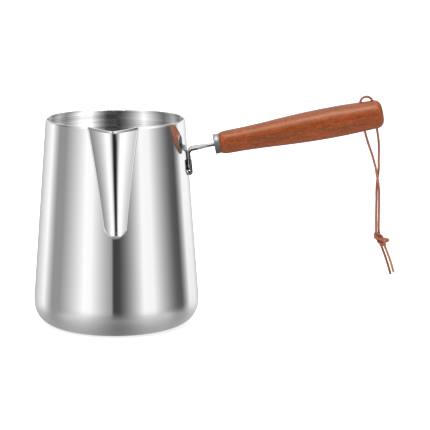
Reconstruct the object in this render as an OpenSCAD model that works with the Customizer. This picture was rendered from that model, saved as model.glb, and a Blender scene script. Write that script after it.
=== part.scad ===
// Turkish coffee pot (cezve): a tapered steel pot with a soldered-on spout and a lift-out handle.
// Origin: centre of the base, on the pot's axis. +Z up, spout towards -Y, handle towards +X. Millimetres.

/* [Pot] */
// Largest diameter, just above the rounded foot
base_d = 100; // [90:1:110]
// Diameter at the rim
rim_d = 83; // [78:1:88]
// Height of the rim above the table
pot_h = 124; // [115:1:135]
// Radius of the rounded foot
foot_r = 13; // [9:1:16]
// Thickness of the drawn sheet
sheet = 0.8; // [0.6:0.1:1.2]

/* [Spout] */
// Width of the spout across the rim
spout_w = 30; // [24:0.2:34]
// How deep the V of the spout is, as a share of half its width
spout_depth = 0.79; // [0.6:0.01:1.1]
// How far down the wall the spout starts
spout_drop = 64; // [50:1:75]
// How much the lip dips below the rim
spout_dip = 0.9; // [0:0.1:2]
// How far the spout leans to one side over its height
spout_lean = 1.3; // [0:0.1:2]

/* [Handle fitting] */
// Width of the flat steel strip
strip_w = 12; // [10:0.5:14]
// Thickness of the strip
strip_t = 1.4; // [1.2:0.1:1.6]
// Height of the tongue's tip when the handle is seated
tongue_z = 95; // [90:1:98]
// How far the strip's tang runs into the wood
tang_l = 55; // [40:1:70]

/* [Grip] */
// Distance from the pot's axis to the ferrule's front face
grip_x = 58.95; // [56:0.05:64]
// Height of the grip's axis at the ferrule's front face
grip_z = 108.2; // [104:0.1:112]
// Upward tilt of the grip
grip_tilt = 10.6; // [5:0.1:15]
// Distance from the ferrule's front face to the end of the wood
grip_l = 102.6; // [100.6:0.1:110]
// Diameter of the ferrule
ferrule_d = 12; // [11:0.5:13]
// Length of the ferrule
ferrule_l = 3.4; // [3:0.2:5]

/* [Lanyard] */
// Diameter of the leather cord
cord_d = 1.5; // [1.2:0.1:1.6]
// Diameter of the two holes that the cord runs through
cord_hole_d = 2.2; // [2:0.1:2.6]

/* [Hidden] */
$fn = 64;

steel = [0.78, 0.78, 0.80];
dark_steel = [0.45, 0.45, 0.46];
wood = [0.60, 0.32, 0.19];
leather = [0.66, 0.42, 0.34];

// ---- The wall: a straight line from the rim, tangent to the foot's circle
foot_x = base_d / 2 - foot_r;
foot_to_rim = [rim_d / 2 - foot_x, pot_h - foot_r];
wall_tilt = atan2(foot_to_rim.y, foot_to_rim.x) - acos(foot_r / norm(foot_to_rim));
bead_depth = 0.6;
bead_r = [20, 30];

function wall_r(z) = rim_d / 2 + (pot_h - z) * tan(wall_tilt);
function half_profile(inset) = concat(
    [[0, inset], [bead_r[0], inset], [bead_r[0] + 1, bead_depth + inset],
     [bead_r[1] - 1, bead_depth + inset], [bead_r[1], inset]],
    [for (a = [-90 : 7.5 : wall_tilt])
        [foot_x + (foot_r - inset) * cos(a), foot_r + (foot_r - inset) * sin(a)]],
    [[rim_d / 2 - inset / cos(wall_tilt), pot_h]]);
function reversed(list) = [for (i = [len(list) - 1 : -1 : 0]) list[i]];

// ---- The spout: rows of points up the wall, each row a V with soft flanks
spout_round = 0.11; // share of the spout's height that its rounded bottom takes
spout_nose = 0.1; // roundness of the V's point
spout_bow = 0.25; // how much the V's flanks are bowed
spout_overlap = 0.4; // how far the soldered edge reaches past the cut in the wall
spout_rows = 18;
spout_cols = 24;
round_rows = 5;

function row_v(k) = k <= round_rows
    ? spout_round * (1 - cos(12 + 78 * k / round_rows))
    : spout_round + (1 - spout_round) * (k - round_rows) / (spout_rows - round_rows);
function spout_z(v) = pot_h - spout_drop + v * spout_drop;
function spout_mid(v) = spout_lean * (0.6 - v);
function spout_half(v) = spout_w / 2 * (0.415 + 0.43 * v + 0.155 * v * v)
    * (v < spout_round ? sqrt(1 - pow(1 - v / spout_round, 2)) : 1);
// Depth of the V at u, which runs from -1 at one seam to 1 at the other, as a share of half its width
function ridge(u) = sqrt(u * u + spout_nose * spout_nose);
function fold(u) = (spout_depth - spout_bow) * (ridge(1) - ridge(u)) / (ridge(1) - spout_nose)
    + spout_bow * (1 - u * u);
function seam(side, v) = let (x = spout_mid(v) + side * spout_half(v))
    [x, -sqrt(pow(wall_r(spout_z(v)), 2) - x * x)];
function spout_outer(u, v) = let (t = (1 + u) / 2)
    (1 - t) * seam(-1, v) + t * seam(1, v) - [0, spout_half(v) * fold(u)];
function spout_normal(u, v) = let (d = spout_outer(u + 0.01, v) - spout_outer(u - 0.01, v))
    [d.y, -d.x] / norm(d);
// A point of the sheet's outer or inner face; at its foot the inner face closes against the wall
function spout_point(u, v, inside) = let (foot = v == row_v(0), outer = spout_outer(u, v),
        inner = foot ? outer + [0, spout_half(v) * fold(u)] : outer - sheet * spout_normal(u, v),
        p = inside ? inner : outer)
    [p.x, p.y, spout_z(v) - spout_dip * v * fold(u) / fold(0)];

// ---- Places on the wall under the handle: x out from the wall, z up along it, from the tongue's tip
up_wall = [-sin(wall_tilt), cos(wall_tilt)];
off_wall = [cos(wall_tilt), sin(wall_tilt)];
function at_wall(x, z) = [wall_r(tongue_z), tongue_z] + x * off_wall + z * up_wall;

// ---- The strip's path: up the wall, round the bend and along the grip's axis
grip_start = [grip_x, grip_z];
grip_dir = [cos(grip_tilt), sin(grip_tilt)];
grip_up = [-sin(grip_tilt), cos(grip_tilt)];
wall_gap = 0.1;
tip_t = 0.35;
taper_l = 6.5;
bend_r = 2.5;
leg_start = at_wall(wall_gap + strip_t / 2, 0);
leg_l = -cross(leg_start - grip_start, grip_dir) / cross(up_wall, grip_dir);
bend_turn = 90 + wall_tilt - grip_tilt;
bend_centre = leg_start + (leg_l - bend_r * tan(bend_turn / 2)) * up_wall + bend_r * off_wall;
function bend_arc(r) = [for (i = [0 : 6])
    let (a = 180 + wall_tilt - i * bend_turn / 6) bend_centre + r * [cos(a), sin(a)]];

// ---- The socket
socket_w = 16.8;
socket_top = 4.9;
roll_r = 1.85;
roll_x = 0.3;
roll_z = -2.65;
flange_w = 22;
flange_t = 0.7;

// ---- The grip's outline: distance from the ferrule's face, radius
grip_outline = [[5, 6.7], [7, 6.9], [18, 7.1], [30, 7.6], [42, 8.35], [54, 8.95],
                [66, 9.25], [78, 9.25], [90, 8.85]];
butt_r = 8.5;
butt_round = 4.2;
spigot_gap = 1;
hole_at = [90.4, 97.8];
loop_foot = 7.8;

// ---- Routes of the two hanging strands, from the holes through the knot to the cut ends
front_route = [[149.6, 0, 115.5], [150.6, 0, 112], [151.9, 0, 108], [153.2, 0, 104.5], [154.4, 0, 101],
    [155.4, -0.1, 97.5], [156.4, -0.4, 94], [157, -0.7, 90.5], [157.7, -0.8, 87], [158.4, -0.7, 83.5],
    [158.8, -0.3, 80], [159, 0, 76], [159.1, 0, 72], [159.1, 0, 68], [159.1, 0, 64], [159.1, 0, 60],
    [159.2, 0, 56], [159.7, 0, 52.5], [161.1, 0, 49.5], [162.7, 0, 46.5], [164.2, 0, 43], [165.6, 0, 39.5],
    [166.9, 0, 36], [168, 0, 32.5], [169, 0, 29]];
rear_route = [[156.8, 0, 116.8], [157.4, 0, 113.5], [157.9, 0, 110], [158.1, 0, 106.5], [158.2, 0, 103],
    [158.2, 0, 99.5], [158.3, 0.2, 96], [158.4, 0.5, 92.5], [158.1, 0.8, 89], [157.7, 0.9, 85.5],
    [157.4, 0.6, 82], [157.3, 0.2, 78.5], [157.4, 0, 75], [157.4, 0, 71], [157.4, 0, 67], [157.4, 0, 63],
    [157.5, 0, 59], [157.6, 0, 55], [158.2, 0, 51.5], [159.5, 0, 48.5], [161.1, 0, 45.5], [162.5, 0, 42],
    [163.8, 0, 38.5], [165, 0, 35], [166.1, 0, 31.5], [167.1, 0, 28]];
cord_sides = 8;

function route_dir(route, i) = let (n = len(route) - 1, d = route[min(i + 1, n)] - route[max(i - 1, 0)])
    d / norm(d);
function ring(route, i) = let (t = route_dir(route, i), side = cross(t, [0, 1, 0]),
        a = side / norm(side), b = cross(a, t))
    [for (k = [0 : cord_sides - 1]) let (w = 360 * k / cord_sides)
        route[i] + cord_d / 2 * (cos(w) * a + sin(w) * b)];

// Two triangles for one four-cornered patch
function patch(a, b, c, d) = [[a, b, c], [a, c, d]];
function flat(lists) = [for (l = lists) each l];

module on_grip_axis() translate([grip_x, 0, grip_z]) rotate([0, 90 - grip_tilt, 0]) children();
module on_wall() translate([wall_r(tongue_z), 0, tongue_z]) rotate([0, -wall_tilt, 0]) children();
// Draws a flat outline in X and Z, thick in Y
module across(width) translate([0, width / 2, 0]) rotate([90, 0, 0]) linear_extrude(width) children();

// The round body without its spout cut; grow makes it fatter, to trim what lies on the wall
module wall_cone(grow) {
    z0 = pot_h - 50;
    translate([0, 0, z0])
        cylinder(h = 45, r1 = wall_r(z0) + grow, r2 = wall_r(z0 + 45) + grow);
}

module pot_body() {
    function cut(side, v, rise) = [spout_mid(v) + side * (spout_half(v) - spout_overlap), spout_z(v) + rise];
    function cut_side(side) = concat([for (k = [0 : spout_rows]) cut(side, row_v(k), 0)], [cut(side, 1, 5)]);
    color(steel)
        difference() {
            rotate_extrude() polygon(concat(half_profile(0), reversed(half_profile(sheet))));
            rotate([90, 0, 0]) linear_extrude(rim_d)
                polygon(concat(cut_side(1), reversed(cut_side(-1))));
        }
}

module spout() {
    per_row = spout_cols + 1;
    count = per_row * (spout_rows + 1);
    function outer(k, j) = k * per_row + j;
    function inner(k, j) = count + outer(k, j);
    points = [for (inside = [false, true]) for (k = [0 : spout_rows]) for (j = [0 : spout_cols])
        spout_point(2 * j / spout_cols - 1, row_v(k), inside)];
    skin = [for (k = [0 : spout_rows - 1]) for (j = [0 : spout_cols - 1]) each concat(
        patch(outer(k, j), outer(k + 1, j), outer(k + 1, j + 1), outer(k, j + 1)),
        patch(inner(k, j), inner(k, j + 1), inner(k + 1, j + 1), inner(k + 1, j)))];
    ends = [for (j = [0 : spout_cols - 1]) each concat(
        patch(outer(spout_rows, j), inner(spout_rows, j), inner(spout_rows, j + 1), outer(spout_rows, j + 1)),
        patch(outer(0, j), outer(0, j + 1), inner(0, j + 1), inner(0, j)))];
    sides = [for (k = [0 : spout_rows - 1]) each concat(
        patch(outer(k, 0), inner(k, 0), inner(k + 1, 0), outer(k + 1, 0)),
        patch(outer(k, spout_cols), outer(k + 1, spout_cols), inner(k + 1, spout_cols), inner(k, spout_cols)))];
    color(steel) polyhedron(points, concat(skin, ends, sides), convexity = 4);
}

// Pocket welded to the wall: a lip that rises from a roll. The strip's tongue drops in from above,
// between the wall and the lip, and a cheek at each end of the lip keeps it from sliding out sideways
module handle_socket() {
    pocket = strip_w + 0.4;
    color(dark_steel)
        difference() {
            union() {
                on_wall() across(socket_w)
                    polygon([[0.7, roll_z], [0.7, 0.2], [1.38, socket_top], [1.95, socket_top], [2.15, roll_z]]);
                on_wall() for (side = [-1, 1])
                    translate([0, side * (socket_w + pocket) / 4, 0]) across((socket_w - pocket) / 2)
                        polygon([[0.1, 0.2], [1.38, socket_top], [1.9, socket_top], [2, 0.2]]);
                on_wall() translate([roll_x, 0, roll_z]) {
                    rotate([90, 0, 0]) cylinder(h = socket_w - 2 * roll_r, r = roll_r, center = true);
                    for (side = [-1, 1]) translate([0, side * (socket_w / 2 - roll_r), 0]) sphere(roll_r);
                }
                intersection() {
                    wall_cone(flange_t);
                    on_wall() translate([-5, -flange_w / 2, roll_z - 1.3]) cube([8, flange_w, 2.6]);
                }
            }
            wall_cone(0);
        }
}

// One flat strip: tongue, bend, neck and the tang inside the wood
module handle_strip() {
    tang_end = grip_start + tang_l * grip_dir;
    side_view = concat([at_wall(wall_gap, 0)], bend_arc(bend_r + strip_t / 2),
        [tang_end + strip_t / 2 * grip_up, tang_end - strip_t / 2 * grip_up],
        reversed(bend_arc(bend_r - strip_t / 2)),
        [at_wall(wall_gap + strip_t, taper_l), at_wall(wall_gap + tip_t, 0)]);
    half_plan = [[-20, strip_w / 2], [-10, strip_w / 2], [-5, strip_w / 4],
                 [tang_l - 3, strip_w / 4], [tang_l + 1, strip_w / 8]];
    color(dark_steel)
        intersection() {
            across(strip_w + 2) polygon(side_view);
            on_grip_axis() rotate([0, -90, 0]) linear_extrude(40, center = true)
                polygon(concat(half_plan, reversed([for (p = half_plan) [p.x, -p.y]])));
        }
}

module ferrule() {
    color(dark_steel) on_grip_axis()
        difference() {
            cylinder(h = ferrule_l, d = ferrule_d);
            translate([0, 0, spigot_gap - 0.1]) cylinder(h = ferrule_l, d = ferrule_d - 1.6);
            cube([strip_t + 0.1, strip_w / 2 + 0.1, 4], center = true);
        }
}

module grip() {
    spigot_r = ferrule_d / 2 - 0.85;
    butt = [for (a = [90 : -15 : 0])
        [grip_l - butt_round + butt_round * cos(a), butt_r - butt_round + butt_round * sin(a)]];
    outline = concat([[spigot_gap, 0], [spigot_gap, spigot_r], [ferrule_l + 0.05, spigot_r],
        [ferrule_l + 0.05, ferrule_d / 2], [ferrule_l + 0.6, 6.3]], grip_outline, butt, [[grip_l, 0]]);
    color(wood) on_grip_axis()
        difference() {
            rotate_extrude() polygon([for (p = outline) [p.y, p.x]]);
            translate([0, 0, tang_l / 2]) cube([strip_t + 0.1, strip_w * 2 / 3 + 0.1, tang_l + 3], center = true);
            for (s = hole_at) translate([0, 0, s]) rotate([0, 90, 0])
                cylinder(h = 30, d = cord_hole_d, center = true);
        }
}

// The stretch of cord that the grip holds: down both holes and over the top
module lanyard_loop() {
    color(leather) on_grip_axis() {
        for (s = hole_at) translate([-loop_foot, 0, s]) rotate([0, 90, 0])
            cylinder(h = 2 * loop_foot + 0.5, d = cord_d);
        translate([-loop_foot, 0, (hole_at[0] + hole_at[1]) / 2]) rotate([0, -90, 0]) rotate([90, 0, 0])
            rotate_extrude(angle = 180) translate([(hole_at[1] - hole_at[0]) / 2, 0]) circle(d = cord_d);
    }
}

module strand(route) {
    n = len(route);
    function at(i, k) = i * cord_sides + k % cord_sides;
    walls = [for (i = [0 : n - 2]) for (k = [0 : cord_sides - 1]) each
        patch(at(i, k), at(i, k + 1), at(i + 1, k + 1), at(i + 1, k))];
    caps = [[for (k = [cord_sides - 1 : -1 : 0]) at(0, k)], [for (k = [0 : cord_sides - 1]) at(n - 1, k)]];
    color(leather) polyhedron(flat([for (i = [0 : n - 1]) ring(route, i)]), concat(walls, caps), convexity = 6);
}

module lanyard_strand_front() strand(front_route);

module lanyard_strand_rear() strand(rear_route);

// Overhand knot of both strands, with the turned-out loop at its side
module lanyard_knot() {
    color(leather) {
        translate([158.8, 0, 50.5]) sphere(r = 3);
        translate([161.4, 0, 48.3]) sphere(r = 2.7);
        translate([161.4, 0, 48.5]) rotate([0, 83, 0]) cylinder(h = 4.1, r = 1.3);
    }
}

pot_body();
spout();
handle_socket();
handle_strip();
ferrule();
grip();
lanyard_loop();
lanyard_strand_front();
lanyard_strand_rear();
lanyard_knot();
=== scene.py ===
"""Looks for the coffee pot: polished steel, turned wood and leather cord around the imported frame."""
import math

import bmesh
import bpy
from mathutils import Matrix, Vector


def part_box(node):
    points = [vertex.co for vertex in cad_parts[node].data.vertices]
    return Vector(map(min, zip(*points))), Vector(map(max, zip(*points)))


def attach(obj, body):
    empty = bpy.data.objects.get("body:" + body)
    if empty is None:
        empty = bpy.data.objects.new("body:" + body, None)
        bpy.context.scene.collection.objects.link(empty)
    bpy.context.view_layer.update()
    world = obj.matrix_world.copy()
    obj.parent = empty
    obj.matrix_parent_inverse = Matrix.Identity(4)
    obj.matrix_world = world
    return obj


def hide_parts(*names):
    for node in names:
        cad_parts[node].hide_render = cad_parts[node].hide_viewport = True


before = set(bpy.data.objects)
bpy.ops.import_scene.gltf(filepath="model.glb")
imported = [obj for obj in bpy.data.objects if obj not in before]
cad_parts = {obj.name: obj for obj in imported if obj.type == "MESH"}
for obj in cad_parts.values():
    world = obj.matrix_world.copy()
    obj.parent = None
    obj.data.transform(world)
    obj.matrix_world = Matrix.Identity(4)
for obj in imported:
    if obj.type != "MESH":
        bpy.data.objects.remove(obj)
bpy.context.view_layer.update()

MM = 0.001
Y_AXIS, Z_AXIS = Vector((0, 1, 0)), Vector((0, 0, 1))

# ---- Sizes of the pot, in metres, as in the part's source
RIM_R, POT_H, FOOT_R, SHEET = 0.0415, 0.124, 0.013, 0.0008
FOOT_X = 0.05 - FOOT_R
MIDDLE_R = 0.045
BEAD_IN, BEAD_OUT, BEAD_DEPTH = 0.020, 0.030, 0.0006
SPOUT_W, SPOUT_DEPTH, SPOUT_DROP, SPOUT_DIP, SPOUT_LEAN = 0.030, 0.79, 0.064, 0.0009, 0.0013
SPOUT_ROUND, SPOUT_NOSE, SPOUT_BOW = 0.11, 0.1, 0.25
SPOUT_TAPER = (0.415, 0.43, 0.155)  # level, even and growing parts of its width
SEAM_POWER, BOTTOM_POWER = 12, 3
TO_RIM = Vector((RIM_R - FOOT_X, POT_H - FOOT_R))
WALL_TILT = math.atan2(TO_RIM.y, TO_RIM.x) - math.acos(FOOT_R / TO_RIM.length)
UP_WALL = Vector((-math.sin(WALL_TILT), 0, math.cos(WALL_TILT)))
OFF_WALL = Vector((math.cos(WALL_TILT), 0, math.sin(WALL_TILT)))

# ---- Sizes of the handle
STRIP_W, STRIP_T, TONGUE_Z = 0.012, 0.0014, 0.095
SOCKET_W, SOCKET_TOP, ROLL_R, ROLL_X, ROLL_Z = 0.0168, 0.0049, 0.00185, 0.0003, -0.00265
GRIP_START = Vector((0.05895, 0, 0.1082))
GRIP_TILT = math.radians(10.6)
GRIP_DIR = Vector((math.cos(GRIP_TILT), 0, math.sin(GRIP_TILT)))
GRIP_UP = Vector((-math.sin(GRIP_TILT), 0, math.cos(GRIP_TILT)))
CORD_R, HOLE_R = 0.00075, 0.0011
HOLE_AT = (0.0904, 0.0978)

# ---- Routes of the hanging strands, in millimetres, as in the part's source
FRONT_ROUTE = [
    (149.6, 0, 115.5), (150.6, 0, 112), (151.9, 0, 108), (153.2, 0, 104.5), (154.4, 0, 101),
    (155.4, -0.1, 97.5), (156.4, -0.4, 94), (157, -0.7, 90.5), (157.7, -0.8, 87), (158.4, -0.7, 83.5),
    (158.8, -0.3, 80), (159, 0, 76), (159.1, 0, 72), (159.1, 0, 68), (159.1, 0, 64), (159.1, 0, 60),
    (159.2, 0, 56), (159.7, 0, 52.5), (161.1, 0, 49.5), (162.7, 0, 46.5), (164.2, 0, 43),
    (165.6, 0, 39.5), (166.9, 0, 36), (168, 0, 32.5), (169, 0, 29)]
REAR_ROUTE = [
    (156.8, 0, 116.8), (157.4, 0, 113.5), (157.9, 0, 110), (158.1, 0, 106.5), (158.2, 0, 103),
    (158.2, 0, 99.5), (158.3, 0.2, 96), (158.4, 0.5, 92.5), (158.1, 0.8, 89), (157.7, 0.9, 85.5),
    (157.4, 0.6, 82), (157.3, 0.2, 78.5), (157.4, 0, 75), (157.4, 0, 71), (157.4, 0, 67), (157.4, 0, 63),
    (157.5, 0, 59), (157.6, 0, 55), (158.2, 0, 51.5), (159.5, 0, 48.5), (161.1, 0, 45.5), (162.5, 0, 42),
    (163.8, 0, 38.5), (165, 0, 35), (166.1, 0, 31.5), (167.1, 0, 28)]


def grip_point(s, h, y=0.0):
    """A point s along the grip's axis from the ferrule's face, h above it and y across."""
    return GRIP_START + s * GRIP_DIR + h * GRIP_UP + y * Y_AXIS


def wall_r(z):
    return RIM_R + (POT_H - z) * math.tan(WALL_TILT)


# =====================================================================  camera
def add_object(name, data):
    """A new object of the scene, with its mesh, curve, lamp or camera."""
    thing = bpy.data.objects.new(name, data)
    bpy.context.scene.collection.objects.link(thing)
    return thing


def add_camera():
    """A long lens a metre in front of the spout, looking down by about 11 degrees."""
    camera = add_object("camera", bpy.data.cameras.new("camera"))
    camera.data.sensor_width = 36
    camera.data.lens = 141.4
    place = Vector((0.02382, -1.00138, 0.259))
    turn = Matrix.Identity(4)
    for degrees, axis in ((-2.05, "Z"), (90 - 10.96, "X"), (0.285, "Z")):
        turn = turn @ Matrix.Rotation(math.radians(degrees), 4, axis)
    camera.matrix_world = Matrix.Translation(place) @ turn
    bpy.context.scene.camera = camera


# =====================================================================  material helpers
def srgb(level):
    """Linear value of a 0 to 255 screen level."""
    s = level / 255
    return s / 12.92 if s <= 0.04045 else ((s + 0.055) / 1.055) ** 2.4


def colour(r, g, b):
    return (srgb(r), srgb(g), srgb(b), 1)


class Nodes:
    """Short ways to add and join shader nodes."""

    def __init__(self, tree):
        self.tree = tree
        tree.nodes.clear()

    def add(self, kind, **settings):
        node = self.tree.nodes.new("ShaderNode" + kind)
        for name, value in settings.items():
            setattr(node, name, value)
        return node

    def join(self, output, target):
        self.tree.links.new(output, target)

    def fill(self, socket, value):
        if isinstance(value, bpy.types.NodeSocket):
            self.join(value, socket)
        else:
            socket.default_value = value

    def split(self, vector):
        """The vector's X, Y and Z."""
        node = self.add("SeparateXYZ")
        self.join(vector, node.inputs[0])
        return node.outputs

    def combine(self, *parts):
        node = self.add("CombineXYZ")
        for socket, part in zip(node.inputs, parts):
            self.fill(socket, part)
        return node.outputs[0]

    def math(self, operation, a, b=0.0):
        node = self.add("Math", operation=operation)
        self.fill(node.inputs[0], a)
        self.fill(node.inputs[1], b)
        return node.outputs[0]

    def mix(self, factor, a, b, blend="MIX"):
        node = self.add("Mix", data_type="RGBA", blend_type=blend)
        self.fill(node.inputs["Factor"], factor)
        self.fill(node.inputs["A"], a)
        self.fill(node.inputs["B"], b)
        return node.outputs["Result"]

    def ramp(self, factor, stops, ease="LINEAR"):
        node = self.add("ValToRGB")
        node.color_ramp.interpolation = ease
        elements = node.color_ramp.elements
        while len(elements) < len(stops):
            elements.new(1)
        for element, (place, value) in zip(elements, stops):
            element.position = place
            element.color = value
        self.fill(node.inputs[0], factor)
        return node.outputs["Color"]

    def noise(self, vector, scale, detail=3.0, rough=0.5):
        node = self.add("TexNoise")
        self.fill(node.inputs["Vector"], vector)
        node.inputs["Scale"].default_value = scale
        node.inputs["Detail"].default_value = detail
        node.inputs["Roughness"].default_value = rough
        return node.outputs["Fac"]

    def place(self, vector, scale=(1, 1, 1), turn=(0, 0, 0)):
        node = self.add("Mapping")
        self.fill(node.inputs["Vector"], vector)
        node.inputs["Scale"].default_value = scale
        node.inputs["Rotation"].default_value = turn
        return node.outputs[0]

    def bump(self, height, strength, distance, normal=None):
        node = self.add("Bump")
        node.inputs["Strength"].default_value = strength
        node.inputs["Distance"].default_value = distance
        self.fill(node.inputs["Height"], height)
        if normal is not None:
            self.fill(node.inputs["Normal"], normal)
        return node.outputs[0]


def grey(value):
    return (value, value, value, 1)


def new_material(name):
    material = bpy.data.materials.new(name)
    material.use_nodes = True
    nodes = Nodes(material.node_tree)
    shader = nodes.add("BsdfPrincipled")
    nodes.join(shader.outputs[0], nodes.add("OutputMaterial").inputs[0])
    return material, nodes, shader


def object_coords(nodes):
    return nodes.add("TexCoord").outputs["Object"]


def way_round(nodes, x, y, scale):
    """The angle round Z, from the camera's side towards +X, times scale."""
    return nodes.math("MULTIPLY", nodes.math("ARCTAN2", x, nodes.math("MULTIPLY", y, -1.0)), scale)


def round_coords(nodes):
    """Radius, way round the pot and height, all in metres, for lines that run round it."""
    x, y, z = nodes.split(object_coords(nodes))
    squares = nodes.math("ADD", nodes.math("MULTIPLY", x, x), nodes.math("MULTIPLY", y, y))
    return nodes.combine(nodes.math("SQRT", squares), way_round(nodes, x, y, MIDDLE_R), z)


def by_level(nodes, span, stops, ease="LINEAR"):
    """A value that changes with height: stops are (metres, value), none of them over span."""
    share = nodes.math("DIVIDE", nodes.split(object_coords(nodes))[2], span)
    return nodes.ramp(share, [(z / span, grey(value)) for z, value in stops], ease)


def painted_edge_shade(nodes, base, shade_colour, stops):
    """The base colour, turning to shade_colour where the surface turns away from the eye, as painted shade
    along its outline; stops are (facing, share).
    """
    edge = nodes.add("LayerWeight")
    edge.inputs["Blend"].default_value = 0.5
    share = nodes.ramp(edge.outputs["Facing"], [(facing, grey(value)) for facing, value in stops])
    return nodes.mix(share, base, shade_colour)


# =====================================================================  materials
def tipped_normal(nodes, rise):
    """The surface's normal tipped up by rise, or down when it is negative."""
    tip = nodes.add("VectorMath", operation="ADD")
    nodes.join(nodes.add("NewGeometry").outputs["Normal"], tip.inputs[0])
    tip.inputs[1].default_value = (0, 0, rise)
    unit = nodes.add("VectorMath", operation="NORMALIZE")
    nodes.join(tip.outputs[0], unit.inputs[0])
    return unit.outputs[0]


def lie_round(nodes, shader):
    """Makes the brushing that draws out a shine run round the pot."""
    shader.inputs["Anisotropic Rotation"].default_value = 0.25
    tangent = nodes.add("Tangent", direction_type="RADIAL", axis="Z")
    nodes.join(tangent.outputs[0], shader.inputs["Tangent"])


def polished_steel(name, lean=0.0):
    """Mirror-polished sheet: nearly a mirror, with faint polishing lines, smears and fine scratches.
    At the foot of the pot it is duller and its shine is drawn out. lean tips the shading downward."""
    material, nodes, shader = new_material(name)
    spin = round_coords(nodes)
    lines = nodes.noise(nodes.place(spin, (9000, 60, 9000)), 1.0, 4)
    smear = nodes.noise(nodes.place(spin, (60, 25, 40)), 1.0, 3)
    scratch = nodes.noise(nodes.place(spin, (400, 5000, 900), (0.4, 0.2, 0)), 1.0, 2)
    marks = nodes.ramp(scratch, [(0.62, grey(0)), (0.72, grey(1))])
    foot = by_level(nodes, 0.05, [(0.008, 0.42), (0.019, 0)], "EASE")
    nodes.join(by_level(nodes, 0.05, [(0.015, 0.9), (0.021, 0)]), shader.inputs["Anisotropic"])
    lie_round(nodes, shader)
    rough = nodes.math("ADD", nodes.math("MULTIPLY", smear, 0.05), 0.035)
    rough = nodes.math("ADD", rough, foot)
    nodes.join(nodes.math("ADD", rough, nodes.math("MULTIPLY", marks, 0.03)), shader.inputs["Roughness"])
    shader.inputs["Base Color"].default_value = (0.86, 0.86, 0.865, 1)
    shader.inputs["Metallic"].default_value = 1
    nodes.join(nodes.bump(lines, 0.03, 0.00002, tipped_normal(nodes, -lean)), shader.inputs["Normal"])
    return material


def brushed_steel():
    """Inside of the pot: fine lines brushed round the axis, with a broad satin shine."""
    material, nodes, shader = new_material("brushed_steel")
    spin = round_coords(nodes)
    fine = nodes.noise(nodes.place(spin, (2600, 30, 2600)), 1.0, 4, 0.7)
    broad = nodes.noise(nodes.place(spin, (100, 3, 1100)), 1.0, 3, 0.6)
    height = nodes.math("ADD", nodes.math("MULTIPLY", fine, 0.5), nodes.math("MULTIPLY", broad, 0.8))
    shade = nodes.ramp(broad, [(0.35, grey(0.62)), (0.65, grey(0.95))])
    nodes.join(shade, shader.inputs["Base Color"])
    shader.inputs["Metallic"].default_value = 1
    shader.inputs["Anisotropic"].default_value = 0.95
    lie_round(nodes, shader)
    nodes.join(nodes.math("ADD", nodes.math("MULTIPLY", broad, 0.06), 0.09), shader.inputs["Roughness"])
    nodes.join(nodes.bump(height, 0.15, 0.00012, tipped_normal(nodes, 0.36)), shader.inputs["Normal"])
    return material


def satin_steel(name, level, roughness):
    """Rolled or turned steel: grey, satin, with grain along X, rubbed brighter in places."""
    material, nodes, shader = new_material(name)
    coords = object_coords(nodes)
    grain = nodes.noise(nodes.place(coords, (300, 6000, 6000)), 1.0, 4, 0.6)
    worn = nodes.noise(nodes.place(coords, (500, 500, 500)), 1.0, 3, 0.6)
    base = nodes.ramp(worn, [(0.35, grey(level * 0.85)), (0.65, grey(level))])
    lined = nodes.ramp(grain, [(0.3, grey(level * 0.75)), (0.7, grey(level * 1.1))])
    nodes.join(nodes.mix(0.35, base, lined), shader.inputs["Base Color"])
    shader.inputs["Metallic"].default_value = 1
    rough = nodes.math("ADD", nodes.math("MULTIPLY", worn, 0.1), roughness)
    nodes.join(rough, shader.inputs["Roughness"])
    nodes.join(nodes.bump(grain, 0.2, 0.00002), shader.inputs["Normal"])
    return material


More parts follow.
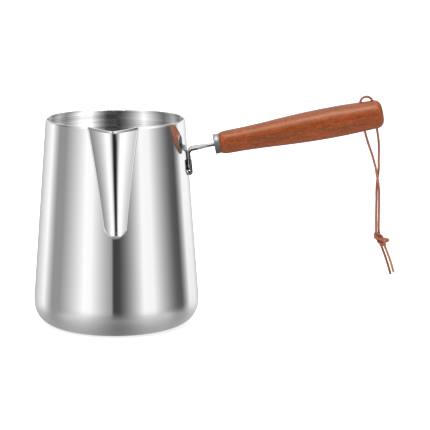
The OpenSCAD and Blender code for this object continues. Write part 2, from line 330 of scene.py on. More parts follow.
def turned_wood():
    """Reddish-brown hardwood: streaks and pores along the grip under thin varnish, with painted shade along
    its outline.
    """
    material, nodes, shader = new_material("turned_wood")
    along = nodes.place(object_coords(nodes), turn=(0, GRIP_TILT, 0))
    warp = nodes.noise(nodes.place(along, (30, 120, 120)), 1.0, 2)
    push = nodes.combine(0, nodes.math("MULTIPLY", warp, 0.004), nodes.math("MULTIPLY", warp, 0.006))
    bent = nodes.add("VectorMath", operation="ADD")
    nodes.join(along, bent.inputs[0])
    nodes.join(push, bent.inputs[1])
    grain = bent.outputs[0]
    broad = nodes.noise(nodes.place(grain, (25, 300, 300)), 1.0, 4, 0.55)
    streak = nodes.noise(nodes.place(grain, (110, 1500, 1500)), 1.0, 5, 0.65)
    pores = nodes.noise(nodes.place(grain, (700, 1500, 1500)), 1.0, 4, 0.7)
    flame = nodes.noise(nodes.place(grain, (120, 260, 260)), 1.0, 3, 0.6)
    base = nodes.ramp(broad, [(0.3, colour(98, 40, 10)), (0.45, colour(130, 56, 14)),
                              (0.6, colour(144, 60, 22)), (0.75, colour(112, 46, 10))])
    fibres = nodes.ramp(streak, [(0.3, colour(84, 32, 8)), (0.5, colour(132, 56, 16)),
                                 (0.72, colour(160, 82, 28))])
    base = nodes.mix(0.5, base, fibres)
    red = nodes.ramp(flame, [(0.5, grey(0)), (0.7, grey(0.6))])
    base = nodes.mix(red, base, colour(160, 60, 32))
    dark = nodes.ramp(pores, [(0.47, grey(0)), (0.66, grey(0.75))])
    base = nodes.mix(dark, base, colour(58, 24, 8))
    # Painted shade: the wood turns deep brown where its surface turns away from the eye, along its outline.
    base = painted_edge_shade(nodes, base, colour(50, 26, 10), [(0.5, 0), (0.88, 0.8)])
    nodes.join(base, shader.inputs["Base Color"])
    nodes.join(nodes.math("ADD", nodes.math("MULTIPLY", streak, 0.16), 0.34), shader.inputs["Roughness"])
    shader.inputs["Specular IOR Level"].default_value = 0.6
    shader.inputs["Specular Tint"].default_value = (1, 0.84, 0.6, 1)
    shader.inputs["Coat Weight"].default_value = 0.04
    shader.inputs["Coat Roughness"].default_value = 0.3
    ridges, pits = nodes.math("MULTIPLY", streak, 0.4), nodes.math("MULTIPLY", pores, 0.5)
    height = nodes.math("SUBTRACT", ridges, pits)
    nodes.join(nodes.bump(height, 0.4, 0.00015), shader.inputs["Normal"])
    return material


def leather_cord(name, tail=None, cut=None):
    """Round dyed leather cord: pinkish brown, patchy, with a fine grain, darker creases and painted shade
    along its outline.
    tail is its colour below the knot, and cut the colour of its cut end."""
    material, nodes, shader = new_material(name)
    coords = object_coords(nodes)
    patch = nodes.noise(nodes.place(coords, (220, 220, 90)), 1.0, 3)
    fine = nodes.noise(nodes.place(coords, (3200, 3200, 1400)), 1.0, 4, 0.65)
    base = nodes.ramp(patch, [(0.3, colour(130, 74, 54)), (0.5, colour(156, 94, 72)),
                              (0.7, colour(166, 106, 74))])
    if tail:
        base = nodes.mix(by_level(nodes, 0.1, [(0.038, 0.9), (0.05, 0)], "EASE"), base, tail)
    if cut:
        base = nodes.mix(by_level(nodes, 0.1, [(0.0294, 0.9), (0.0306, 0)]), base, cut)
    crease = nodes.ramp(fine, [(0.35, grey(0.45)), (0.6, grey(0))])
    base = nodes.mix(crease, base, colour(92, 48, 34))
    # Painted shade: the cord darkens towards its outline, where its surface turns away from the eye.
    base = painted_edge_shade(nodes, base, colour(96, 50, 32), [(0.55, 0), (0.9, 0.75)])
    nodes.join(base, shader.inputs["Base Color"])
    shader.inputs["Roughness"].default_value = 0.55
    shader.inputs["Specular IOR Level"].default_value = 0.25
    nodes.join(nodes.bump(fine, 0.5, 0.00008), shader.inputs["Normal"])
    return material


# =====================================================================  mesh helpers
def make_piece(name, verts, faces, materials, crease=38):
    """One mesh piece with doubles merged and faces turned outward. A face is (corners, material number).
    It is smooth, except over edges sharper than crease degrees."""
    mesh = bpy.data.meshes.new(name)
    build = bmesh.new()
    points = [build.verts.new(v) for v in verts]
    for corners, slot in faces:
        build.faces.new([points[i] for i in corners]).material_index = slot
    bmesh.ops.remove_doubles(build, verts=build.verts, dist=1e-7)
    bmesh.ops.dissolve_degenerate(build, edges=build.edges, dist=1e-8)
    bmesh.ops.recalc_face_normals(build, faces=build.faces)
    finish_mesh(build, mesh, crease)
    for material in materials:
        mesh.materials.append(material)
    return add_object(name, mesh)


def finish_mesh(build, mesh, crease):
    """Writes the mesh, smooth except over edges sharper than crease degrees."""
    for face in build.faces:
        face.smooth = True
    for edge in build.edges:
        sharp = len(edge.link_faces) == 2 and edge.calc_face_angle(0) > math.radians(crease)
        edge.smooth = not sharp
    build.to_mesh(mesh)
    build.free()


def reshade(piece, crease=40):
    build = bmesh.new()
    build.from_mesh(piece.data)
    finish_mesh(build, piece.data, crease)


def grid_faces(rows, columns, start=0, slot=0, closed=False):
    """Faces of a grid of points stored row by row; closed joins its last column to its first."""
    faces = []
    for r in range(rows - 1):
        low, high = start + r * columns, start + (r + 1) * columns
        for c in range(columns if closed else columns - 1):
            after = (c + 1) % columns
            faces.append(((low + c, low + after, high + after, high + c), slot))
    return faces


def end_caps(rings, segments, slot=0):
    """Flat faces over both ends of a tube of rings."""
    last = (rings - 1) * segments
    return [(tuple(range(start, start + segments)), slot) for start in (0, last)]


def circle(radius, segments):
    angles = [2 * math.pi * k / segments for k in range(segments)]
    return [(radius * math.cos(a), radius * math.sin(a)) for a in angles]


def smooth_steps(start, end, count):
    return [start + (end - start) * i / count for i in range(count + 1)]


def lerp(a, b, t):
    return a + (b - a) * t


# =====================================================================  pot and spout shapes
def spout_z(v):
    return POT_H - SPOUT_DROP + v * SPOUT_DROP


def spout_mid(v):
    return SPOUT_LEAN * (0.6 - v)


def spout_bottom(v):
    """How far the rounded bottom of the spout has opened at v, from 0 to 1."""
    return math.sqrt(max(0.0, 1 - (1 - v / SPOUT_ROUND) ** 2)) if v < SPOUT_ROUND else 1


def spout_half(v):
    """Half the spout's width at v, without its rounded bottom."""
    level, even, growing = SPOUT_TAPER
    return SPOUT_W / 2 * (level + even * v + growing * v * v)


def fold(u):
    """Depth of the spout's V at u, as a share of half its width, with a soft turn into the wall."""
    x = abs(u)
    fillet = 0.94
    if x > fillet:
        x -= (x - fillet) ** 2 / (2 * (1 - fillet))
    x /= (1 + fillet) / 2

    def ridge(t):
        return math.sqrt(t * t + SPOUT_NOSE * SPOUT_NOSE)

    crease = (SPOUT_DEPTH - SPOUT_BOW) * (ridge(1) - ridge(x)) / (ridge(1) - SPOUT_NOSE)
    return crease + SPOUT_BOW * (1 - x * x)


def seam_x(side, v, inside=False):
    """Where the spout's sheet meets the wall; the inner corner lies a little nearer the middle."""
    half = spout_half(v) * spout_bottom(v)
    if inside:
        half -= min(SHEET / 2, half * 0.3) * min(1, v * 3)
    return spout_mid(v) + side * half


def on_wall_front(x, z, inside=False):
    r = wall_r(z) - (SHEET if inside else 0)
    return Vector((x, -math.sqrt(r * r - x * x), z))


def between_seams(u, v, inside=False):
    """The point at u on the straight line from one seam to the other."""
    left, right = (on_wall_front(seam_x(side, v, inside), spout_z(v), inside) for side in (-1, 1))
    return left.lerp(right, (1 + u) / 2)


def spout_outer(u, v):
    """The outer face at u across and v up. Round its bottom it stays full nearly to the seam."""
    point = between_seams(u, v)
    bottom = spout_bottom(v)
    depth = fold(u * bottom) - fold(bottom) * abs(u) ** SEAM_POWER
    point.y -= spout_half(v) * depth * (1 - (1 - bottom) ** BOTTOM_POWER)
    point.z -= SPOUT_DIP * v * fold(u) / fold(0)
    return point


def spout_inner(u, v):
    """The channel's face: the outer face moved in by the sheet's thickness, ending at the inner seam."""
    step, seam_part, bottom_part = 0.004, 0.25, 0.01
    ahead = spout_outer(min(1, u + step), v) - spout_outer(max(-1, u - step), v)
    outer = spout_outer(u, v)
    inner = outer + SHEET * Vector((-ahead.y, ahead.x, 0)).normalized()
    chord = between_seams(u, v, True)
    near = max(0.0, (abs(u) - 1 + seam_part) / seam_part) ** 2
    closing = max(0.0, 1 - v / bottom_part)
    mixed = inner.lerp(chord, max(near, closing))
    return Vector((mixed.x, min(mixed.y, chord.y), outer.z))


def spout_rows():
    """Heights of the spout's rows: close together round its bottom, then even."""
    round_rows, even_rows = 10, 36
    curve = [SPOUT_ROUND * (1 - math.cos(math.radians(a))) for a in smooth_steps(0, 90, round_rows)]
    return curve + smooth_steps(SPOUT_ROUND, 1, even_rows)[1:]


def rim_edge(outer, inner, steps=4):
    """Points over a rounded sheet edge, between its outer and its inner face."""
    middle, half = (outer + inner) / 2, (outer - inner) / 2
    angles = smooth_steps(0, math.pi, steps)[1:-1]
    return [middle + half * math.cos(a) + Z_AXIS * half.length * math.sin(a) for a in angles]


def eased(points, middle, reach, passes=3, span=3):
    """Softens the bend of a profile around one of its points, so that reflections fade over it."""
    for _ in range(passes):
        out = []
        for i, p in enumerate(points):
            away = (p - middle).length / reach
            if away < 1 and span < i < len(points) - span - 1:
                nearby = (points[i - span] + points[i + span] + 2 * p) / 4
                p = p.lerp(nearby, (1 - away * away) ** 2)
            out.append(p)
        points = out
    return points


def wall_profile(inset, cut_rows):
    """Radius and height from the middle of the pot's base to under the rim, on one face of the sheet."""
    step, soft = 0.0006, 0.00002
    slope = [(-step, 0), (0, soft), (step, BEAD_DEPTH / 2), (2 * step, BEAD_DEPTH - soft),
             (3 * step, BEAD_DEPTH)]
    bead = [(BEAD_IN + r, z) for r, z in slope] + [(BEAD_OUT - r, z) for r, z in slope[::-1]]
    flat_to, foot_from = 0.010, 0.0335
    base = [Vector((r, z + inset)) for r, z in [(0, 0), (flat_to, 0), *bead, (foot_from, 0)]]
    radius = FOOT_R - inset
    foot = [Vector((FOOT_X + radius * math.cos(a), FOOT_R + radius * math.sin(a)))
            for a in smooth_steps(-math.pi / 2, WALL_TILT, 30)]
    tangent = foot[-1].y
    lower = [Vector((wall_r(z) - inset, z)) for z in smooth_steps(tangent, POT_H - SPOUT_DROP, 60)[1:]]
    soft = eased(foot + lower, foot[-1], 0.012)
    return base + soft + [Vector((wall_r(z) - inset, z)) for z in cut_rows]


def pot_body(outside, inside):
    """The spun body. Columns of points go round it from one seam of the spout to the other."""
    columns = 288
    gather = math.radians(60)

    def angles(z, inside_face):
        """Where the columns stand at height z. Those within gather of the front close in on the cut."""
        v = (z - POT_H + SPOUT_DROP) / SPOUT_DROP
        r = wall_r(z) - (SHEET if inside_face else 0)
        right = math.asin(seam_x(1, v, inside_face) / r) if v > 0 else math.asin(spout_mid(0) / r)
        left = math.asin(seam_x(-1, v, inside_face) / r) if v > 0 else right
        out = []
        for c in range(columns + 1):
            a = 2 * math.pi * c / columns
            if a < gather:
                a = right + a * (gather - right) / gather
            elif a > 2 * math.pi - gather:
                a = 2 * math.pi + left - (2 * math.pi - a) * (gather + left) / gather
            out.append(a)
        return out

    def ring(point, inside_face=False):
        r, z = point
        return [Vector((r * math.sin(a), -r * math.cos(a), z)) for a in angles(z, inside_face)]

    cut_rows = [spout_z(v) for v in spout_rows()[1:-1]] + [POT_H - SHEET / 2]
    outer = [ring(p) for p in wall_profile(0, cut_rows)]
    inner = [ring(p, True) for p in wall_profile(SHEET, cut_rows)]
    rows, faces = sheet_faces(outer, inner, len(outer) - len(cut_rows) - 1)
    return make_piece("pot_body_visual", [p for row in rows for p in row], faces, [outside, inside], 30)


def sheet_faces(outer, inner, cut_from=0):
    """Rows and faces of a sheet from its two faces' rows, joined over a rounded top edge.
    Its two side edges are closed from row cut_from upwards. The inner face has material 1."""
    rim = [list(row) for row in zip(*[rim_edge(a, b) for a, b in zip(outer[-1], inner[-1])])]
    rows = outer + rim + inner[::-1]
    n_outer, width = len(outer) + len(rim) // 2, len(outer[0])
    faces = grid_faces(n_outer, width)
    faces += grid_faces(len(rows) - n_outer + 1, width, (n_outer - 1) * width, 1)
    return rows, faces + side_faces(rows, len(outer), len(rim), width, cut_from)


def side_faces(rows, n_face, n_rim, width, first):
    """Closes a sheet's two side edges, from its outer face to its inner one."""
    faces = []
    last = len(rows) - 1
    for column in (0, width - 1):
        for r in range(first, n_face - 1):
            a, b = r * width + column, (r + 1) * width + column
            faces.append(((a, b, (last - r - 1) * width + column, (last - r) * width + column), 1))
        faces.append((tuple(r * width + column for r in range(n_face - 1, n_face + n_rim + 1)), 1))
    return faces


def spout(outside, inside):
    """The folded V of sheet. Its columns stand a little closer together at the nose."""
    columns, closeness, share = 120, 1.6, 0.75
    vs = spout_rows()[1:]
    vs[-1] = 1 - SHEET / 2 / SPOUT_DROP
    us = [lerp(t, math.copysign(abs(t) ** closeness, t), share) for t in smooth_steps(-1, 1, columns)]
    outer = [[spout_outer(u, v) for u in us] for v in vs]
    inner = [[spout_inner(u, v) for u in us] for v in vs]
    rows, faces = sheet_faces(outer, inner)
    last = (len(rows) - 1) * (columns + 1)
    faces += [((c, c + 1, last + c + 1, last + c), 1) for c in range(columns)]
    return make_piece("spout_visual", [p for row in rows for p in row], faces, [outside, inside], 30)


# =====================================================================  handle
def smooth_profile(points, per_span=6):
    """A smooth curve through hand-set points, as Catmull-Rom spans."""
    padded = [points[0], *points, points[-1]]
    out = []
    for corners in zip(padded, padded[1:], padded[2:], padded[3:]):
        for k in range(per_span):
            out.append(tuple(span_value(*coords, k / per_span) for coords in zip(*corners)))
    return out + [tuple(points[-1])]


def span_value(a, b, c, d, t):
    """One coordinate at t from b to c, on the span that a and d steer."""
    slope, bend, twist = c - a, 2 * a - 5 * b + 4 * c - d, 3 * b - a - 3 * c + d
    return 0.5 * (2 * b + slope * t + bend * t * t + twist * t ** 3)


def turned(name, profile, materials, segments=96, crease=38):
    """A piece turned round the grip's axis. profile is (distance along, radius)."""
    verts = [grip_point(s, up, across) for s, r in profile for up, across in circle(r, segments)]
    faces = grid_faces(len(profile), segments, closed=True)
    return make_piece(name, verts, faces, materials, crease)


def grip_profile():
    """Outline of the wood in millimetres: distance from the ferrule's face, radius."""
    face, face_r, soft, soft_r = 3.45, 5.6, 0.55, 0.5
    front = [(face, 0.0), (face, face_r)]
    front += [(face + soft * (1 - math.cos(a)), face_r + soft_r * math.sin(a))
              for a in smooth_steps(0.3, math.pi / 2, 4)]
    body = smooth_profile([
        (4.0, 6.12), (4.7, 6.45), (5.8, 6.75), (7.5, 6.9), (12, 7.0), (18, 7.1), (30, 7.6), (42, 8.35),
        (54, 8.95), (66, 9.25), (78, 9.25), (90, 8.85), (98.4, 8.5)])
    butt_from, butt_round, flat_r = 98.4, 4.2, 4.3
    butt = [(butt_from + butt_round * math.sin(a), flat_r + butt_round * math.cos(a))
            for a in smooth_steps(0, math.pi / 2, 12)[1:]]
    end = [(butt_from + butt_round, flat_r * share) for share in (0.6, 0.2, 0)]
    return [(s * MM, r * MM) for s, r in front + body + butt + end]


def grip(wood):
    piece = turned("grip_visual", grip_profile(), [wood], 128)
    for s in HOLE_AT:
        cut_hole(piece, s)
    return piece


def cut_hole(piece, s):
    """Bores one cord hole through the wood, with a countersunk mouth at each side."""
    segments = 24
    side = [(0.0078, HOLE_R), (0.0084, HOLE_R + 0.0002), (0.012, HOLE_R + 0.003)]
    profile = [(-h, r) for h, r in side[::-1]] + side
    verts = [grip_point(s + along, h, across) for h, r in profile for along, across in circle(r, segments)]
    faces = grid_faces(len(profile), segments, closed=True) + end_caps(len(profile), segments)
    combine(piece, make_piece("cutter", verts, faces, []), "DIFFERENCE")


def combine(piece, other, operation):
    """Adds the other piece or cuts it away, and deletes it."""
    modifier = piece.modifiers.new("combine", "BOOLEAN")
    modifier.object = other
    modifier.operation = operation
    modifier.solver = "EXACT"
    apply_modifiers(piece)
    bpy.data.objects.remove(other)


def apply_modifiers(piece):
    graph = bpy.context.evaluated_depsgraph_get()
    graph.update()
    mesh = bpy.data.meshes.new_from_object(piece.evaluated_get(graph))
    old = piece.data
    piece.modifiers.clear()
    piece.data = mesh
    bpy.data.meshes.remove(old)


def ferrule(steel):
    """The turned cap on the front of the wood; its outline is in millimetres, as the wood's is."""
    mm = [(0.15, 0.0), (0.15, 4.3), (0.1, 4.6), (0.0, 4.9), (0.02, 5.5), (0.18, 5.82), (0.45, 5.98),
          (0.8, 6.0), (2.2, 6.0), (2.4, 5.94), (2.55, 5.9), (2.7, 5.94), (2.8, 6.06), (3.0, 6.12),
          (3.2, 6.08), (3.38, 5.9), (3.4, 5.0)]
    return turned("ferrule_visual", [(s * MM, r * MM) for s, r in mm], [steel], 96, 50)


def bevelled(piece, width, segments=3):
    modifier = piece.modifiers.new("bevel", "BEVEL")
    modifier.width = width
    modifier.segments = segments
    modifier.limit_method = "ANGLE"
    modifier.angle_limit = math.radians(35)
    apply_modifiers(piece)
    reshade(piece)
    return piece


def at_wall(x, z, y=0.0):
    """A point x out from the wall under the handle, z up along it from the tongue's tip."""
    return Vector((wall_r(TONGUE_Z), y, TONGUE_Z)) + x * OFF_WALL + z * UP_WALL


def strip_stations():
    """Cross-sections along the strip: middle, direction through it, half thickness and half width."""
    gap, tip_t, taper, bend_r, bend_steps = 0.0001, 0.00035, 0.0065, 0.0025, 12
    half = STRIP_T / 2
    stations = []
    tongue = ((0, 0.55), (0.0003, 0.72), (0.0009, 0.85), (0.0018, 0.95), (0.003, 1), (0.0045, 1), (taper, 1))
    for z, w in tongue:
        t = lerp(tip_t, STRIP_T, z / taper) / 2
        stations.append((at_wall(gap + t, z), OFF_WALL, t, STRIP_W / 2 * w))
    leg = at_wall(gap + half, 0)
    leg_l = -side_step(leg - GRIP_START, GRIP_DIR) / side_step(UP_WALL, GRIP_DIR)
    turn = math.pi / 2 + WALL_TILT - GRIP_TILT
    centre = leg + (leg_l - bend_r * math.tan(turn / 2)) * UP_WALL + bend_r * OFF_WALL
    for i in range(bend_steps + 1):
        a = math.pi + WALL_TILT - i * turn / bend_steps
        out = Vector((math.cos(a), 0, math.sin(a)))
        stations.append((centre + bend_r * out, -out, half, STRIP_W / 2))
    neck = ((-0.0102, 0.5), (-0.0096, 0.48), (-0.0075, 0.375), (-0.0054, 0.27), (-0.0048, 0.25),
            (0.002, 0.25))
    return stations + [(grip_point(s, 0), -GRIP_UP, half, STRIP_W * w) for s, w in neck]


def side_step(a, b):
    """How far a reaches to the side of b in the X and Z plane, times b's length."""
    return a.x * b.z - a.z * b.x


def handle_strip(steel, painted_shade_steel):
    """The flat strip as a lofted bar with rounded edges, down to the ferrule's slot.
    Its face away from the wall, which runs on under the neck, keeps the brighter steel; its rounded edges,
    ends and other face take a darker copy of that steel, which is painted shade."""
    corner, arc = 0.0003, 3
    ring = 4 * (arc + 1)
    verts = []
    for middle, out, t, w in strip_stations():
        c = min(corner, t * 0.8)
        for quarter, (sx, sy) in enumerate(((1, 1), (-1, 1), (-1, -1), (1, -1))):
            for k in range(arc + 1):
                a = math.pi / 2 * (quarter + k / arc)
                through, across = sx * (t - c) + c * math.cos(a), sy * (w - c) + c * math.sin(a)
                verts.append(middle + through * out + across * Y_AXIS)
    count = len(verts) // ring
    sides = grid_faces(count, ring, slot=1, closed=True)
    # Only the face away from the wall keeps the brighter steel; every other face takes the darker copy, as
    # painted shade.
    faces = [(corners, 0 if k % ring == ring - 1 else slot) for k, (corners, slot) in enumerate(sides)]
    faces += end_caps(count, ring, 1)
    return make_piece("handle_strip_visual", verts, faces, [steel, painted_shade_steel], 50)


def prism(name, outline, y0, y1, at, materials, bevel):
    """A flat outline, thick from y0 to y1 and with its edges rounded; at places its points."""
    count = len(outline)
    verts = [at(x, z, y) for y in (y0, y1) for x, z in outline]
    faces = [(tuple(range(count)), 0), (tuple(range(count, 2 * count)), 0)]
    faces += [((i, (i + 1) % count, count + (i + 1) % count, count + i), 0) for i in range(count)]
    return bevelled(make_piece(name, verts, faces, materials), bevel)


def joined(pieces, name):
    """One closed skin round overlapping closed pieces."""
    first, *others = pieces
    for other in others:
        combine(first, other, "UNION")
    first.name = name
    reshade(first)
    return first


def roll_skin(steel):
    """The socket's roll: a bar across the wall with domed ends."""
    length, segments = SOCKET_W / 2 - ROLL_R, 32
    dome = [(length + ROLL_R * math.cos(a), ROLL_R * math.sin(a))
            for a in smooth_steps(0.05, math.pi / 2, 8)]
    stations = [(-y, r) for y, r in dome] + dome[::-1]
    verts = [at_wall(ROLL_X + out, ROLL_Z + up, y) for y, r in stations for out, up in circle(r, segments)]
    faces = grid_faces(len(stations), segments, closed=True) + end_caps(len(stations), segments)
    return make_piece("roll", verts, faces, [steel], 40)


def flange_skin(steel):
    """The thin plate behind the roll that follows the wall's curve, with a rounded outline."""
    half_w, half_h, columns, rows = 0.011, 0.0013, 32, 6
    front, back, end_fall, edge_fall = 0.0007, -0.0003, 0.0004, 0.0002
    verts = []
    for lift in (front, back):
        for v in smooth_steps(-1, 1, rows):
            for t in smooth_steps(-1, 1, columns):
                y = half_w * (t - 0.08 * t * v * v)
                middle = at_wall(0, ROLL_Z + half_h * v)
                fall = end_fall * max(0, abs(t) - 0.9) / 0.1 + edge_fall * (abs(v) > 0.9)
                r = middle.x + lift - (fall if lift == front else 0)
                verts.append(Vector((math.sqrt(r * r - y * y), y, middle.z)))
    width, layer = columns + 1, (columns + 1) * (rows + 1)
    faces = grid_faces(rows + 1, width) + grid_faces(rows + 1, width, layer)
    edges = ((0, 1, columns), (rows * width, 1, columns), (0, width, rows), (columns, width, rows))
    for start, step, count in edges:
        for a in range(start, start + step * count, step):
            faces.append(((a, a + step, a + step + layer, a + layer), 0))
    return make_piece("flange", verts, faces, [steel], 40)


def socket_piece(steel):
    """The pocket on the wall: a lip rising from a roll, a cheek at each end and the plate behind."""
    top, half, inner = SOCKET_TOP, SOCKET_W / 2, STRIP_W / 2 + 0.0002
    lip = [(0.0007, ROLL_Z), (0.0007, 0.0002), (0.00138, top), (0.00195, top), (0.00215, ROLL_Z)]
    cheek = [(0.0001, 0.0002), (0.00138, top), (0.0019, top), (0.002, 0.0002)]
    pieces = [prism("lip", lip, -half, half, at_wall, [steel], 0.00018)]
    for y0, y1 in ((-half, -inner), (inner, half)):
        pieces.append(prism("cheek", cheek, y0, y1, at_wall, [steel], 0.00012))
    return joined(pieces + [roll_skin(steel), flange_skin(steel)], "handle_socket_visual")


# =====================================================================  cord
def cord_data(name, material, radius):
    curve = bpy.data.curves.new(name, "CURVE")
    curve.dimensions = "3D"
    curve.bevel_depth = radius
    curve.bevel_resolution = 6
    curve.use_fill_caps = True
    curve.materials.append(material)
    return curve


def add_line(curve, points, cyclic=False):
    line = curve.splines.new("POLY")
    line.points.add(len(points) - 1)
    for target, p in zip(line.points, points):
        target.co = (*p, 1)
    line.use_cyclic_u = cyclic


def cord_curve(name, points, material):
    """A round cord along its points: one open spline with a round section."""
    curve = cord_data(name, material, CORD_R)
    add_line(curve, points)
    return add_object(name, curve)


def route_points(route, per_span=5):
    return [Vector(p) * MM for p in smooth_profile(route, per_span)]


def lanyard_loop(leather):
    """The stretch of cord that the grip holds: up one hole, over the top and down the other."""
    front, rear = HOLE_AT
    middle, radius = (front + rear) / 2, (rear - front) / 2
    foot, low = 0.0078, -0.0096
    points = [grip_point(front, h) for h in smooth_steps(low, foot, 6)[:-1]]
    points += [grip_point(middle - radius * math.cos(a), foot + radius * math.sin(a))
               for a in smooth_steps(0, math.pi, 24)]
    points += [grip_point(rear, h) for h in smooth_steps(foot, low, 6)[1:]]
    return cord_curve("lanyard_loop_visual", points, leather)


def lanyard_knot(leather):
    """An overhand knot of the doubled cord: slanting turns round it, and a bight out to one side.
    A turn is (middle, half width, half depth) in millimetres from the middle of the knot."""
    low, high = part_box("lanyard_knot")
    centre = (low + high) / 2
    slant = math.radians(-28)
    across = Vector((math.cos(slant), 0, math.sin(slant)))
    turns = (((-1.5, 0, 3), 2.2, 1.7), ((-1.2, 0, 1.6), 3, 2), ((-0.8, 0, 0), 3.3, 2.1),
             ((0.3, 0, -1.9), 2.5, 1.7))
    bight = [(-0.5, -1, 1.2), (1.1, -1, 0.9), (2.7, -0.8, 0.6), (4, -0.4, 0.2), (4.5, 0, -0.4),
             (3.9, 0.2, -1), (2.6, -0.4, -1.2), (1.2, -0.8, -1.9), (0.2, -0.6, -2.8)]
    curve = cord_data("lanyard_knot_visual", leather, CORD_R * 1.08)
    for k, (middle, wide, deep) in enumerate(turns):
        lean = 0.35 * (-1) ** k
        loop = [Vector(middle) + wide * math.cos(a) * across + deep * math.sin(a) * Vector((0, -1, lean))
                for a in smooth_steps(0, 2 * math.pi, 40)]
        add_line(curve, [centre + p * MM for p in loop[:-1]], cyclic=True)
    add_line(curve, [centre + p for p in route_points(bight, 6)])
    return add_object("lanyard_knot_visual", curve)


# =====================================================================  studio
# The studio's white and dark cards, as (degrees, screen level) of their edges, set in steps of 5,
# but for one sharp edge at -3. Degrees run from straight behind the camera towards its right.
WALL_CARDS = [
    (-180, 150), (-120, 255), (-100, 145), (-85, 145), (-45, 255), (-35, 250), (-5, 150), (-3, 65),
    (5, 70), (40, 250), (55, 245), (95, 90), (105, 80), (125, 245), (145, 245), (180, 165)]
SPOUT_CARDS = [
    (-180, 125), (-105, 135), (-80, 255), (-70, 255), (20, 40), (60, 40), (75, 255), (85, 255), (100, 200),
    (180, 150)]
UPPER_CARDS = [
    (-180, 255), (-165, 255), (-135, 110), (-115, 170), (-90, 105), (-50, 255), (-5, 50), (15, 50),
    (45, 255), (65, 250), (95, 130), (115, 175), (135, 120), (165, 255), (180, 255)]
SCREEN_GAMMA, CARD_GAIN, UPPER_GAIN = 2.2, 1.16, 1.3


def add_world():
    """Cards at three heights, pale ground below and light above. A height is a direction's Z."""
    world = bpy.data.worlds.new("studio")
    bpy.context.scene.world = world
    world.use_nodes = True
    nodes = Nodes(world.node_tree)
    x, y, z = nodes.split(nodes.add("TexCoord").outputs["Generated"])
    degrees = way_round(nodes, x, y, 180 / math.pi)
    turn = nodes.math("ADD", nodes.math("DIVIDE", degrees, 360), 0.5)

    def around(cards, gain):
        stops = [(angle / 360 + 0.5, grey(level / 255)) for angle, level in cards]
        return nodes.math("MULTIPLY", nodes.math("POWER", nodes.ramp(turn, stops), SCREEN_GAMMA), gain)

    def by_height(stops):
        share = nodes.math("ADD", nodes.math("MULTIPLY", z, 0.5), 0.5)
        return nodes.ramp(share, [(0.5 + 0.5 * height, grey(value)) for height, value in stops])

    ground = nodes.mix(by_height([(-0.97, 1), (-0.75, 0)]), grey(0.35), grey(0.2))
    low_part = by_height([(-1, 1), (-0.6, 0.7), (-0.35, 0.45), (-0.12, 0)])
    shade = nodes.mix(low_part, around(WALL_CARDS, CARD_GAIN), ground)
    right_seam = nodes.math("GREATER_THAN", degrees, 10)
    soft = nodes.math("MULTIPLY", right_seam, by_height([(-0.45, 0), (-0.435, 1)]))
    lower = nodes.mix(soft, around(SPOUT_CARDS, CARD_GAIN), grey(0.5), "LIGHTEN")
    shade = nodes.mix(by_height([(-0.59, 0), (-0.54, 1), (-0.4, 1), (-0.37, 0)]), shade, lower)
    shade = nodes.mix(by_height([(0.02, 0), (0.09, 1)]), shade, around(UPPER_CARDS, UPPER_GAIN))
    shade = nodes.mix(by_height([(0.6, 0), (0.8, 1)]), shade, grey(1.3))
    shade = nodes.mix(nodes.add("LightPath").outputs["Is Camera Ray"], shade, grey(1))
    background = nodes.add("Background")
    nodes.join(shade, background.inputs["Color"])
    nodes.join(background.outputs[0], nodes.add("OutputWorld").inputs[0])


def add_light(name, place, target, width, depth, power):
    """A rectangular lamp at place that faces target."""
    light = bpy.data.lights.new(name, "AREA")
    light.energy = power
    light.shape = "RECTANGLE"
    light.size = width
    light.size_y = depth
    lamp = add_object(name, light)
    lamp.location = place
    lamp.rotation_euler = (Vector(target) - Vector(place)).to_track_quat("-Z", "Y").to_euler()
    return lamp


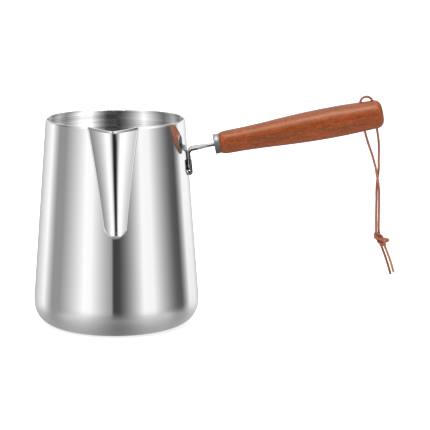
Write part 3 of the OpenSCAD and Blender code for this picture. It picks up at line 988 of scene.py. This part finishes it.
def add_floor():
    """A pale floor that also glows a little, and that the steel doesn't mirror."""
    material, _, shader = new_material("pale_floor")
    shader.inputs["Base Color"].default_value = grey(0.9)
    shader.inputs["Roughness"].default_value = 0.9
    shader.inputs["Specular IOR Level"].default_value = 0.0
    shader.inputs["Emission Color"].default_value = grey(1)
    shader.inputs["Emission Strength"].default_value = 0.6
    reach = 4
    mesh = bpy.data.meshes.new("floor")
    corners = [(-reach, -reach, 0), (reach, -reach, 0), (reach, reach, 0), (-reach, reach, 0)]
    mesh.from_pydata(corners, [], [(0, 1, 2, 3)])
    mesh.materials.append(material)
    floor = add_object("floor", mesh)
    floor.visible_glossy = False


# =====================================================================  build
bpy.context.scene.view_settings.view_transform = "Standard"
add_camera()

leather = leather_cord("leather_cord")
knot = lanyard_knot(leather)
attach(knot, "lanyard")
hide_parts("lanyard_knot")
for name, route, node, tail, cut in (
        ("lanyard_strand_front_visual", FRONT_ROUTE, "lanyard_strand_front",
         colour(172, 106, 68), colour(210, 164, 122)),
        ("lanyard_strand_rear_visual", REAR_ROUTE, "lanyard_strand_rear", colour(112, 64, 38), None)):
    points = route_points(route)
    strand = cord_curve(name, points, leather_cord(node + "_leather", tail, cut))
    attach(strand, "lanyard")
    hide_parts(node)
    strand.visible_glossy = False
knot.visible_glossy = False

polished = polished_steel("polished_steel")
dressed = polished_steel("spout_steel", 0.2)
brushed = brushed_steel()
strip_steel = satin_steel("strip_steel", 0.72, 0.06)
# A darker copy of the strip's steel for its edges and other face: painted shade.
strip_painted_shade = satin_steel("strip_painted_shade_steel", 0.3, 0.12)
socket_steel = satin_steel("socket_steel", 0.34, 0.1)
ferrule_steel = satin_steel("ferrule_steel", 0.34, 0.45)

for piece, body, node, slot in (
        (pot_body(polished, brushed), "pot", "pot_body", "polished_steel"),
        (spout(dressed, brushed), "pot", "spout", "polished_steel"),
        (socket_piece(socket_steel), "pot", "handle_socket", "socket_steel"),
        (handle_strip(strip_steel, strip_painted_shade), "handle", "handle_strip", "strip_steel"),
        (ferrule(ferrule_steel), "handle", "ferrule", "ferrule_steel"),
        (grip(turned_wood()), "handle", "grip", "turned_wood"),
        (lanyard_loop(leather), "handle", "lanyard_loop", "leather_cord")):
    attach(piece, body)
    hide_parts(node)

add_world()
add_floor()
soft_key = add_light("soft_key", (-0.4, -0.7, 0.9), (0.05, 0, 0.08), width=0.5, depth=0.5, power=3)
soft_key.visible_glossy = False
add_light("top_strip", (0.1, -0.2, 0.68), (0.11, 0, 0.117), width=0.4, depth=0.12, power=2.1)
